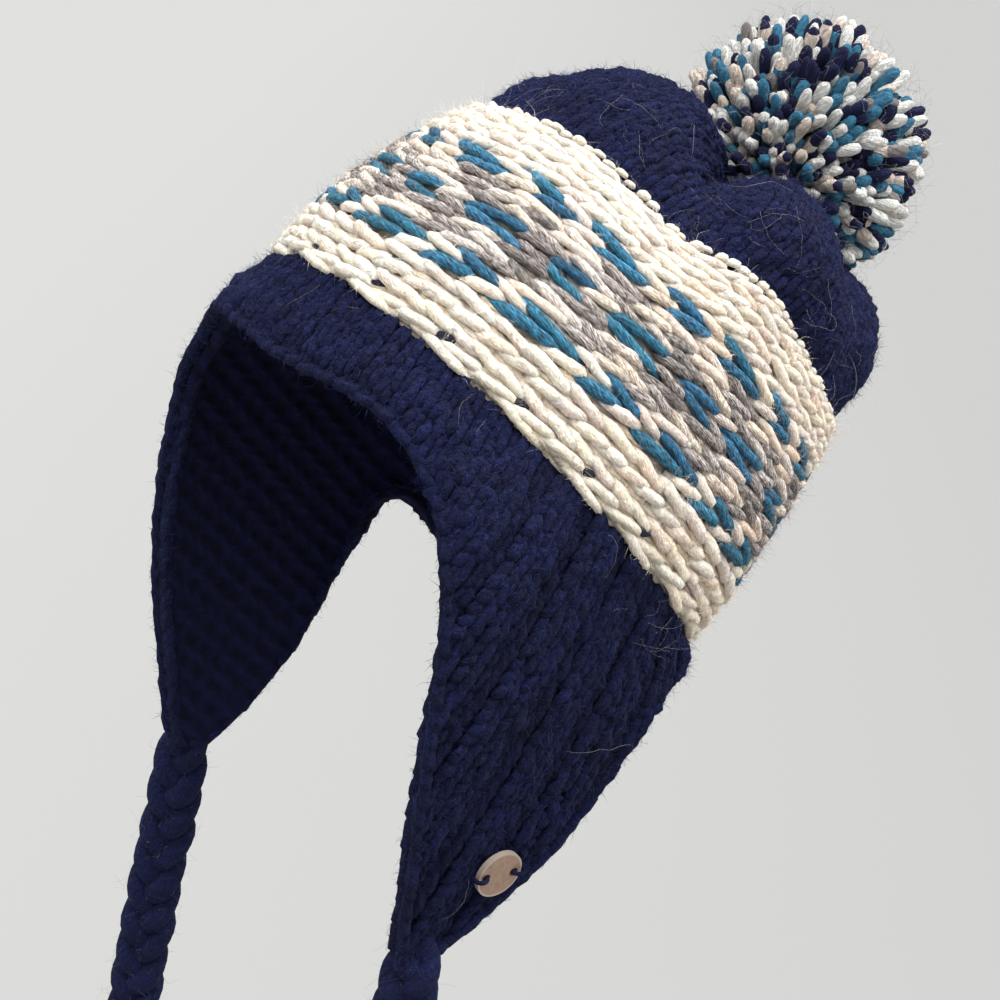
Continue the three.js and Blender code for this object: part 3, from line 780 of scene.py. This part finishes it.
def makeBandStitches():
    legs, underLegs = bandLegs()
    nap = woolTufts("bandTufts", legs, bandTufts, paleTuft)
    flyaway = woolTufts("bandHairs", legs, bandHairs, paleTuft)
    addBorders(legs)
    stitches = legs.mesh("bandStitches", bandKnit["sides"], bandYarn, bandKnit["rough"])
    under = underLegs.mesh("bandUnderStitches", bandKnit["sides"] - 1, bandYarn, bandKnit["rough"])
    return stitches, under, nap, flyaway


bandPieces = makeBandStitches()
print("band stitches", [len(piece.data.polygons) for piece in bandPieces])


# Navy stockinette: columns of V stitches that run down a skin, and a chain along the hem
navyKnit = {
    "crownColumns": 92, "flapColumns": 102, "tall": 4.7, "points": 5, "sides": 5,
    "plump": 0.315, "widest": 6.6, "thin": 4.2,  # leg radius by column width, and where columns are taken together
    "near": 0.12, "far": 0.29,
    "start": -3.0, "crest": -1.4, "end": -2.7, "rise": 0.4, "fall": 0.65,
    "overlap": 1.9,                              # length of a leg in rows
    "loose": (0.4, 0.09, 1.3, 0.22, 0.10),       # how far a leg may slide, shift, rise, swell and tilt
    # purl legs sink into the rib furrows and their colour is darkened there: painted shade in the furrows
    "purlDepth": 1.9, "purlShade": 0.72, "rough": 0.1,
    "hemPitch": 7.0, "hemYarn": 2.1, "hemOverlap": 1.8, "hemLoose": (0.3, 0.6, 0.8),
}


def legSwell(t):
    return 0.55 + 0.45 * np.sin(math.pi * (0.08 + 0.84 * t)) ** 0.6


def columnLegs(form, columns, high, ribs):
    knit = navyKnit
    legs = LegList()
    t = np.linspace(0, 1, knit["points"])
    pitch = 360 / columns
    places = np.linspace(0, high, 80)
    for column in range(columns):
        angle = (column + 0.5) * pitch
        run = pathRun(form.read(angle, places)[0])
        rows = max(2, int(round(run[-1] / knit["tall"])))
        for row in range(rows):
            centre = np.interp((row + 0.5) / rows * run[-1], run, places)
            left, right = form.read(np.array([angle - pitch / 2, angle + pitch / 2]), centre)[0]
            wide = np.linalg.norm(right - left)
            bundle = 1
            while wide * bundle < knit["thin"] and bundle < 8:
                bundle *= 2
            if column % bundle:
                continue
            wide *= bundle
            middle = angle + pitch * (bundle - 1) / 2
            purl = ribs and column % 3 == 1 and bundle == 1 and flapShare(np.array(middle)) > 0.5
            for side in (-1, 1):
                slide, shift, rise, swell, tilt = dice.uniform(-0.5, 0.5, 5) * knit["loose"]
                reach = row + 0.5 + (t - 0.5) * knit["overlap"] + slide
                v = np.interp(reach / rows * run[-1], run, places)
                sway = side * (knit["near"] + (knit["far"] - knit["near"]) * smoothStep(t, 0, 0.8))
                sway = sway + shift + tilt * (t - 0.5)
                height = legHeight(t, knit) + rise - (knit["purlDepth"] if purl else 0)
                radius = knit["plump"] * min(wide, knit["widest"]) * (1 + swell) * legSwell(t)
                # purl legs painted darker: painted shade in the furrows
                tint = legTint("navy") * (knit["purlShade"] if purl else 1)
                legs.lay(form, middle + sway * pitch * bundle, v, height, radius, tint)
    return legs


def addHem(legs):
    t = np.linspace(0, 1, navyKnit["points"])
    count = int(hemRun[-1] / navyKnit["hemPitch"])
    for stitch in range(count):
        for side in (-1, 1):
            slide, shift, rise = dice.uniform(-0.5, 0.5, 3) * navyKnit["hemLoose"]
            at = (stitch + (t - 0.5) * navyKnit["hemOverlap"] + slide) / count * hemRun[-1]
            spot, normal, down = hemEdge(angleAt(at, hemRun, hemAngles))
            across = -hatForm["wall"] / 2 + 0.6 + side * (0.9 + 1.9 * smoothStep(t, 0, 0.8)) + shift
            height = legHeight(t, navyKnit) + rise
            legs.add(spot + normal * across[:, None] + down * height[:, None], down,
                     navyKnit["hemYarn"] * legSwell(t), legTint("navy"))


# the navy tufts' and hairs' tone makes them up to several times lighter than their yarn: a painted highlight on loose
# fibres, spread at random
navyTufts = {
    "count": 17200, "ends": (0.1, 0.9), "bent": False, "long": (2.0, 5.0), "thin": 0.085,
    "wander": 1.0, "raised": (0.05, 0.6), "curl": 0.4, "tone": (0.7, 3.4),
}
navyHairs = {
    "count": 3600, "ends": (0.1, 0.9), "bent": True, "long": (3.0, 7.0), "thin": 0.045,
    "wander": 1.5, "raised": (0.2, 1.2), "curl": 0.9, "tone": (1.4, 5.0),
}


def makeNavyStitches():
    crown = columnLegs(crownForm, navyKnit["crownColumns"], 0.88, False)
    flaps = columnLegs(flapForm, navyKnit["flapColumns"], 0.985, True)
    addHem(flaps)
    pieces = []
    for name, legs in (("crown", crown), ("flap", flaps)):
        pieces.append(legs.mesh(name + "Stitches", navyKnit["sides"], navyYarn, navyKnit["rough"]))
        pieces.append(woolTufts(name + "Tufts", legs, navyTufts, navyTuft))
        pieces.append(woolTufts(name + "Hairs", legs, navyHairs, navyTuft))
    return pieces


navyPieces = makeNavyStitches()
print("navy stitches", [len(piece.data.polygons) for piece in navyPieces])


# Braids: three strands plaited along the route of the solids
braidRoute = [  # left braid, the right one is its mirror image
    (69.3, -46.6, -120), (69.5, -47, -133), (69.6, -47.2, -148), (69.9, -47.6, -164), (70.3, -48, -180),
    (70.6, -48.3, -196), (70.8, -48.4, -212), (70.9, -48.4, -228), (70.9, -48.2, -244), (70.8, -47.9, -260),
    (70.6, -47.6, -276), (70.4, -47.3, -292), (70.2, -47.1, -308), (70.1, -47, -322), (70, -47, -336), (70, -47, -350),
]
braidKnit = {
    "period": 40.0, "sway": 5.4, "depth": 2.9, "strand": 4.7, "points": 130, "sides": 14, "turn": 40.0,
    "rooted": 16.0, "rootSize": 0.45,  # thinner where it is sewn in
}
brushKnit = {
    "points": 12, "sides": 8, "coils": 3, "coilWide": 8.2, "coilYarn": 3.4, "coilPitch": 3.6,
    "strands": 22, "wide": 6.0, "long": 46.0, "uneven": 5.0, "yarn": 2.3,
}


def braidPiece(name, mirror):
    braid = braidKnit
    middle = throughRows(np.array(braidRoute) * np.array([mirror, 1, 1]), np.linspace(0, 1, braid["points"]))
    run = pathRun(middle)
    turn = math.radians(braid["turn"])
    wide = np.array([math.cos(turn), math.sin(turn), 0])
    deep = np.array([-math.sin(turn), math.cos(turn), 0])
    grow = braid["rootSize"] + (1 - braid["rootSize"]) * smoothStep(run, 0, braid["rooted"])
    strands = LegList()
    for strand in range(3):
        phase = 2 * math.pi * (run / braid["period"] + strand / 3)
        lumps = 1 + 0.10 * np.sin(2 * phase + strand)
        sideways = np.outer(braid["sway"] * grow * np.sin(phase), wide)
        path = middle + sideways + np.outer(braid["depth"] * grow * np.sin(2 * phase), deep)
        strands.add(path, deep, braid["strand"] * lumps * grow, legTint("navy"))
    return strands.mesh(name, braid["sides"], navyYarn), middle, run[-1]


def endPiece(name, mirror):  # knot round the braid's end and a brush of yarn below it
    brush = brushKnit
    foot = np.array(braidRoute[-1]) * np.array([mirror, 1, 1])
    t = np.linspace(0, 1, brush["points"])
    strands = LegList()
    for coil in range(brush["coils"]):
        turn = 2 * math.pi * t * 1.08 + coil
        down = -4 - brush["coilPitch"] * coil - 2 * t
        ring = np.stack([brush["coilWide"] * np.cos(turn), brush["coilWide"] * np.sin(turn), down], 1)
        strands.add(foot + ring, [0.0, 0.0, 1.0], np.full(len(t), brush["coilYarn"]), legTint("navy"))
    for strand in range(brush["strands"]):
        away = 2 * math.pi * strand * 0.382  # golden angle, so the strands fill the brush
        flare = brush["wide"] * math.sqrt((strand + 0.5) / brush["strands"]) * (0.7 + 0.9 * t ** 1.5)
        down = -2 - (brush["long"] + brush["uneven"] * math.sin(strand * 2.4)) * t
        line = np.stack([flare * np.cos(away), flare * np.sin(away), down], 1)
        strands.add(foot + line, [math.cos(away), math.sin(away), 0.2], brush["yarn"] * (1 - 0.1 * t), legTint("navy"))
    return strands.mesh(name, brush["sides"], navyYarn)


braids = {}
for braidSide, mirror in (("left", 1), ("right", -1)):
    braids[braidSide] = braidPiece(braidSide + "BraidPlait", mirror) + (endPiece(braidSide + "BraidBrush", mirror),)
print("braids made")


# Strands scattered with Geometry Nodes
def scatterTree(name, fanned):  # strand shapes over a surface, on its normals or all pointing away from one place
    kinds = {"Density": "Float", "Apart": "Float", "Seed": "Int", "Tilt": "Float", "Strands": "Collection",
             "Finish": "Material"}
    kinds.update({"Tied": "Vector", "Ragged": "Float"} if fanned else {"Shortest": "Float", "Longest": "Float"})
    tree = bpy.data.node_groups.new(name, "GeometryNodeTree")
    tree.interface.new_socket("Geometry", in_out="INPUT", socket_type="NodeSocketGeometry")
    for label, kind in kinds.items():
        tree.interface.new_socket(label, in_out="INPUT", socket_type="NodeSocket" + kind)
    tree.interface.new_socket("Geometry", in_out="OUTPUT", socket_type="NodeSocketGeometry")
    given = {socket.name: Wire(tree, socket) for socket in tree.nodes.new("NodeGroupInput").outputs}

    def chance(output, **values):  # a random value for each strand
        return addNode(tree, "FunctionNodeRandomValue", output, **values, Seed=given["Seed"])

    points = addNode(tree, "GeometryNodeDistributePointsOnFaces", distribute_method="POISSON", Mesh=given["Geometry"],
                     Density_Max=given["Density"], Distance_Min=given["Apart"], Seed=given["Seed"])
    spots, facing = [Wire(tree, points.outputs[label]) for label in ("Points", "Rotation")]
    sizes = {}
    if fanned:
        place = addNode(tree, "GeometryNodeInputPosition", 0)
        heading = place.vector("SUBTRACT", in1=given["Tied"]).vector("NORMALIZE")
        shift = heading.vector("SCALE", Scale=chance(1, in2=given["Ragged"] * -1.0, in3=given["Ragged"] * 0.2))
        spots = addNode(tree, "GeometryNodeSetPosition", 0, Geometry=spots, Offset=shift)
        facing = addNode(tree, "FunctionNodeAlignRotationToVector", 0, axis="Z", Vector=heading)
    else:
        sizes["Scale"] = chance(1, in2=given["Shortest"], in3=given["Longest"])
    low, high = [addNode(tree, "ShaderNodeCombineXYZ", 0, X=given["Tilt"] * sign, Y=given["Tilt"] * sign, Z=turn)
                 for sign, turn in ((-1.0, 0.0), (1.0, 6.283))]
    swing = chance(0, data_type="FLOAT_VECTOR", Min=low, Max=high)
    turned = addNode(tree, "FunctionNodeRotateRotation", 0, rotation_space="LOCAL", Rotation=facing,
                     Rotate_By=addNode(tree, "FunctionNodeEulerToRotation", 0, in0=swing))
    shapes = addNode(tree, "GeometryNodeCollectionInfo", 0, Collection=given["Strands"], Separate_Children=True,
                     Reset_Children=True)
    placed = addNode(tree, "GeometryNodeInstanceOnPoints", 0, Points=spots, Instance=shapes, Pick_Instance=True,
                     Rotation=turned, **sizes)
    marked = addNode(tree, "GeometryNodeStoreNamedAttribute", 0, domain="INSTANCE", Geometry=placed, Name="yarnPick",
                     Value=chance(1))
    real = addNode(tree, "GeometryNodeRealizeInstances", 0, Geometry=marked)
    done = addNode(tree, "GeometryNodeSetMaterial", 0, Geometry=real, Material=given["Finish"])
    addNode(tree, "NodeGroupOutput", Geometry=done)
    return tree


def runTree(carrier, tree, values, name):  # evaluates the tree on a carrier and keeps a plain mesh
    modifier = carrier.modifiers.new(tree.name, "NODES")
    modifier.node_group = tree
    for item in tree.interface.items_tree:
        if item.in_out == "INPUT" and item.name in values:
            modifier[item.identifier] = values[item.name]
    graph = bpy.context.evaluated_depsgraph_get()
    mesh = bpy.data.meshes.new_from_object(carrier.evaluated_get(graph), preserve_all_data_layers=True, depsgraph=graph)
    carrier.modifiers.remove(modifier)
    mesh.name = name
    return addPiece(name, mesh)


def strandShape(name, line, radius, up, material, sides=3, marl=1.0, rough=0.0):
    return yarnTubes(name, line[None], np.broadcast_to(up, line.shape)[None], radius[None],
                     np.array([[1, 1, 1, marl]]), sides, material, rough)


def shapeCollection(name, pieces):
    shelf = bpy.data.collections.new(name)
    for piece in pieces:
        bpy.context.scene.collection.objects.unlink(piece)
        shelf.objects.link(piece)
    return shelf


def dropCollection(shelf):
    for piece in list(shelf.objects):
        bpy.data.objects.remove(piece)
    bpy.data.collections.remove(shelf)


# Pompom: cut yarn that fans out from where it is tied
pompomSizes = {
    "along": 151.0, "back": 9.0, "radius": 42.5, "reach": 36.0, "yarn": 2.05, "bend": 3.5, "kinds": 6,
    "tied": 136.0,                       # place on the hat's axis that the yarn fans out from
    "stretch": 1.08, "tall": (-0.40, 0.07, 0.91), "apart": 0.0033, "density": 700000.0, "ragged": 0.010, "sway": 0.18,
}
pompomYarn = yarnMaterial("pompomYarn", {
    **yarnLook, "twist": 34.0, "streakRun": 0.05, "streakScale": 4.5, "streak": 0.8, "lumpScale": 420.0,
    "lumpHeight": 1.0, "grooveShade": 0.98, "speckShade": 0.87, "drift": 0.94, "plyHeight": 0.1, "curl": 0.05, "bump": 0.9,
    "lightest": 1.9, "sheen": 0.02, "sheenTint": (1.0, 0.98, 0.95)},
    [(0.0, "white"), (0.33, "ink"), (0.63, "aqua"), (0.84, "blush"), (0.96, "grey")])


def pompomShelf():
    shapes = []
    t = np.array([0, 0.4, 0.7, 0.9, 0.97, 1.0])
    taper = np.array([0.5, 0.8, 0.97, 1.0, 0.78, 0.3])
    for kind in range(pompomSizes["kinds"]):
        bend = dice.uniform(-1, 1, 2) * pompomSizes["bend"]
        line = np.stack([bend[0] * (1 - t) ** 2, bend[1] * (1 - t) ** 2, pompomSizes["reach"] * (t - 1)], 1)
        radius = pompomSizes["yarn"] * taper * dice.uniform(0.9, 1.12)
        shapes.append(strandShape(f"cutYarn{kind}", line, radius, [1.0, 0.2, 0.0], navyYarn, 6, 0.25, 0.08))
    return shapeCollection("cutYarn", shapes)


def ballMesh(name, radius):
    centre = hatSpot(0.0, pompomSizes["along"], pompomSizes["back"])
    mesh = bpy.data.meshes.new(name)
    ball = bmesh.new()
    bmesh.ops.create_icosphere(ball, subdivisions=4, radius=radius * mm)
    stretch = Matrix.Scale(pompomSizes["stretch"], 4, Vector(pompomSizes["tall"]))
    bmesh.ops.transform(ball, matrix=stretch, verts=ball.verts)
    bmesh.ops.translate(ball, verts=ball.verts, vec=centre * mm)
    ball.to_mesh(mesh)
    ball.free()
    return addPiece(name, mesh)


def makePompom():
    ball = ballMesh("pompomBall", pompomSizes["radius"])
    shelf = pompomShelf()
    piece = runTree(ball, scatterTree("yarnBall", True), {
        "Density": pompomSizes["density"], "Apart": pompomSizes["apart"], "Seed": 5, "Ragged": pompomSizes["ragged"],
        "Tied": tuple(hatSpot(0.0, pompomSizes["tied"], pompomSizes["back"]) * mm), "Tilt": pompomSizes["sway"],
        "Strands": shelf, "Finish": pompomYarn}, "pompomStrands")
    dropCollection(shelf)
    bpy.data.objects.remove(ball)
    return piece

pompomStrands = makePompom()
print("pompom strands", len(pompomStrands.data.polygons))


# Fibres that stand off the wool
fibreShape = {"kinds": 8, "points": 4, "thin": 0.0055, "curl": 0.34}
strayShape = {"kinds": 12, "points": 15, "thin": 0.0008, "waver": 0.45, "wind": 4.5}
carrierGrid = {"around": 240, "down": 60}


def fibreShelf():
    shapes = []
    t = np.linspace(0, 1, fibreShape["points"])
    for kind in range(fibreShape["kinds"]):
        bend = dice.uniform(-1, 1, 4) * fibreShape["curl"]
        across = [bend[0] * t + bend[1] * np.sin(4 * t), bend[2] * t * t + bend[3] * np.sin(5 * t)]
        line = np.stack(across + [0.8 * t], 1) / mm
        radius = fibreShape["thin"] / mm * (1 - 0.6 * t)
        shapes.append(strandShape(f"fibre{kind}", line, radius, [0.3, 1.0, 0.1], navyFibre))
    return shapeCollection("fibreShapes", shapes)


def strayShelf():  # long curly hairs that lie on the navy wool
    shapes = []
    count, waver, wind = strayShape["points"], strayShape["waver"], strayShape["wind"]
    t = np.linspace(0, 1, count)
    for kind in range(strayShape["kinds"]):
        heading = np.cumsum(dice.uniform(-waver, waver, count)) + dice.uniform(-wind, wind) * t ** 1.3
        steps = np.stack([np.cos(heading), np.sin(heading)], 1) / count
        line = np.concatenate([np.cumsum(steps, 0), (0.03 + 0.12 * np.sin(math.pi * t))[:, None]], 1) / mm
        radius = np.full(count, strayShape["thin"] / mm)
        shapes.append(strandShape(f"stray{kind}", line, radius, [0.0, 0.0, 1.0], navyFibre))
    return shapeCollection("strayShapes", shapes)


def skinCarrier(form, low, high, lift):  # a temporary surface over the stitches that the fibres stand on
    count, down = carrierGrid["around"], carrierGrid["down"]
    angles = np.linspace(0, 360, count, endpoint=False)
    rings = [form.read(angles, v) for v in np.linspace(low, high, down)]
    spots = np.concatenate([spot + normal * lift for spot, normal in rings])
    piece = meshFromFaces("carrier", spots, [ringQuads(np.arange(down - 1)[:, None] * count, count)], navyFibre)
    spot, normal = form.read(90.0, (low + high) / 2)
    middle = min(piece.data.polygons, key=lambda face: (face.center - Vector(spot * mm)).length)
    if middle.normal.dot(Vector(normal)) < 0:
        piece.data.flip_normals()
    return piece


scattered = scatterTree("strandsOnSurface", False)
fibres = fibreShelf()
strays = strayShelf()
carriers = {
    "crown": skinCarrier(crownForm, 0.0, 0.8, -0.5),
    "flap": skinCarrier(flapForm, 0.0, 1.0, -0.5),
    "crownEdge": skinCarrier(crownForm, 0.0, 0.2, 0.2),
    "flapEdge": skinCarrier(flapForm, 0.0, 0.14, 0.2),
    "pompom": ballMesh("carrier", 41.5),
    "left": braids["left"][0],
    "right": braids["right"][0],
}
fuzzRows = [  # carrier, name, fibres per square metre, shortest, longest, tilt, shapes, finish, slot
    ("crown", "crownStray", 800, 0.012, 0.030, 0.3, strays, hairFibre, "navy_knit"),
    ("flap", "flapStray", 260, 0.012, 0.030, 0.3, strays, hairFibre, "navy_knit"),
    ("crownEdge", "crownEdgeStray", 13000, 0.008, 0.022, 0.5, strays, hairFibre, "navy_knit"),
    ("flapEdge", "flapEdgeStray", 15000, 0.008, 0.022, 0.5, strays, hairFibre, "navy_knit"),
    ("pompom", "pompomFuzz", 34000, 0.003, 0.008, 0.9, fibres, hairFibre, "pompom_yarn"),
    ("pompom", "pompomDarkFuzz", 40000, 0.003, 0.009, 0.9, fibres, navyFibre, "pompom_yarn"),
    ("left", "leftBraidFuzz", 26000, 0.003, 0.008, 1.1, fibres, navyFibre, "navy_braid"),
    ("right", "rightBraidFuzz", 26000, 0.003, 0.008, 1.1, fibres, navyFibre, "navy_braid"),
]
fuzz = {}
for carrier, name, density, shortest, longest, tilt, shapes, finish, slotName in fuzzRows:
    piece = runTree(carriers[carrier], scattered, {
        "Density": float(density), "Apart": 0.0, "Seed": len(fuzz) + 3, "Shortest": shortest, "Longest": longest,
        "Tilt": tilt, "Strands": shapes, "Finish": finish}, name)
    fuzz[name] = (piece, slotName)
    print(name, len(piece.data.polygons))
dropCollection(fibres)
dropCollection(strays)
for name in ("crown", "flap", "crownEdge", "flapEdge", "pompom"):
    bpy.data.objects.remove(carriers[name])


# Trim disc on the left flap
discLook = {"tone": (0.25, 0.165, 0.118), "rim": (0.42, 0.34, 0.295), "rimFrom": 0.90, "rimTo": 0.95}


def discMaterial():
    material, shader, place = newMaterial("brushedDisc")
    light = tuple(1.35 * c for c in discLook["tone"])
    tone = place.noise(500.0, 4.0).ramp([(0.35, discLook["tone"]), (0.7, light)])
    spots = np.array([spot.co for spot in frame["nodes"]["button"].data.vertices])
    middle = (spots.min(axis=0) + spots.max(axis=0)) / 2
    reach = float(np.linalg.norm(spots - middle, axis=1).max())
    away = place.vector("DISTANCE", "Value", in1=tuple(middle))
    rim = away.span(discLook["rimFrom"] * reach, discLook["rimTo"] * reach, 0.0, 1.0)
    colour = addNode(place.tree, "ShaderNodeMix", 2, data_type="RGBA", in0=rim, in6=tone, in7=discLook["rim"] + (1,))
    fill(shader, Base_Color=colour, Metallic=0.5, Roughness=0.42)
    return material


finishes = {"button": discMaterial(), "button_thread_1": navyLining, "button_thread_2": navyLining}
for nodeName, finish in finishes.items():
    frame["nodes"][nodeName].data.materials.clear()
    frame["nodes"][nodeName].data.materials.append(finish)

# Every piece rides on the hat's one body
dressed = [  # piece, slot, and the solid that it replaces
    (crownWall, "navy_knit", "crown"), (bandWall, "band_knit", "band"), (flapWall, "navy_knit", "earflaps"),
    (pompomStrands, "pompom_yarn", "pompom"),
    (braids["left"][0], "navy_braid", "left_braid"), (braids["right"][0], "navy_braid", "right_braid"),
    (braids["left"][3], "navy_braid", "left_braid_end"), (braids["right"][3], "navy_braid", "right_braid_end"),
]
dressed += [(piece, "band_knit", "") for piece in bandPieces]
dressed += [(piece, "navy_knit", "") for piece in navyPieces]
dressed += [(piece, slotName, "") for piece, slotName in fuzz.values()]
for piece, slotName, nodeName in dressed:
    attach(piece, "root")
    if nodeName:
        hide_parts(nodeName)
for braidSide in ("left", "right"):
    plait, middle, length, brush = braids[braidSide]
    tuple(middle[0] * mm)
    [tuple(p) for p in middle[::5] * mm]
    fuzz[braidSide + "BraidFuzz"][0]
print("pieces ride on the frame")

# Stage: pale floor and soft studio light
stageLook = {
    # the floor's colour runs from tone to the darker far colour along falloff: painted shade
    "floor": -0.9, "size": 60.0, "tone": (0.234, 0.235, 0.232), "far": (0.202, 0.203, 0.200),
    "falloff": (0.68, 0.73, 0.0),  # direction in which the floor gets darker, a painted shade that stands for the light falling off across the floor
    "room": 1.18, "key": 2.55, "top": 4.4,
}


def sunLight(name, toLight, strength, spread, colour):
    lamp = bpy.data.lights.new(name, "SUN")
    lamp.energy = strength
    lamp.angle = math.radians(spread)
    lamp.color = colour
    addPiece(name, lamp).rotation_euler = Vector(toLight).to_track_quat("Z", "Y").to_euler()


def makeStage():
    half, z = stageLook["size"] / 2, stageLook["floor"]
    mesh = bpy.data.meshes.new("floor")
    mesh.from_pydata([(-half, -half, z), (half, -half, z), (half, half, z), (-half, half, z)], [], [(0, 1, 2, 3)])
    material, shader, place = newMaterial("paleFloor")
    across = place.vector("DOT_PRODUCT", "Value", in1=stageLook["falloff"]).span(-0.9, 0.9, 0.0, 1.0)
    tone = across.ramp([(0.0, stageLook["tone"]), (1.0, stageLook["far"])])
    fill(shader, Base_Color=tone, Roughness=0.95, Specular_IOR_Level=0.0)
    mesh.materials.append(material)
    addPiece("floor", mesh)
    world = bpy.data.worlds.new("softRoom")
    world.use_nodes = True
    fill(world.node_tree.nodes["Background"], Color=(0.98, 0.99, 1.0, 1), Strength=stageLook["room"])
    bpy.context.scene.world = world
    sunLight("keyWindow", (0.14, -0.40, 1.1), stageLook["key"], 45, (1.0, 0.985, 0.96))
    sunLight("topSoft", (0.22, 0.34, 1.0), stageLook["top"], 60, (1.0, 0.995, 0.98))
    bpy.context.scene.view_settings.view_transform = "Standard"


makeStage()
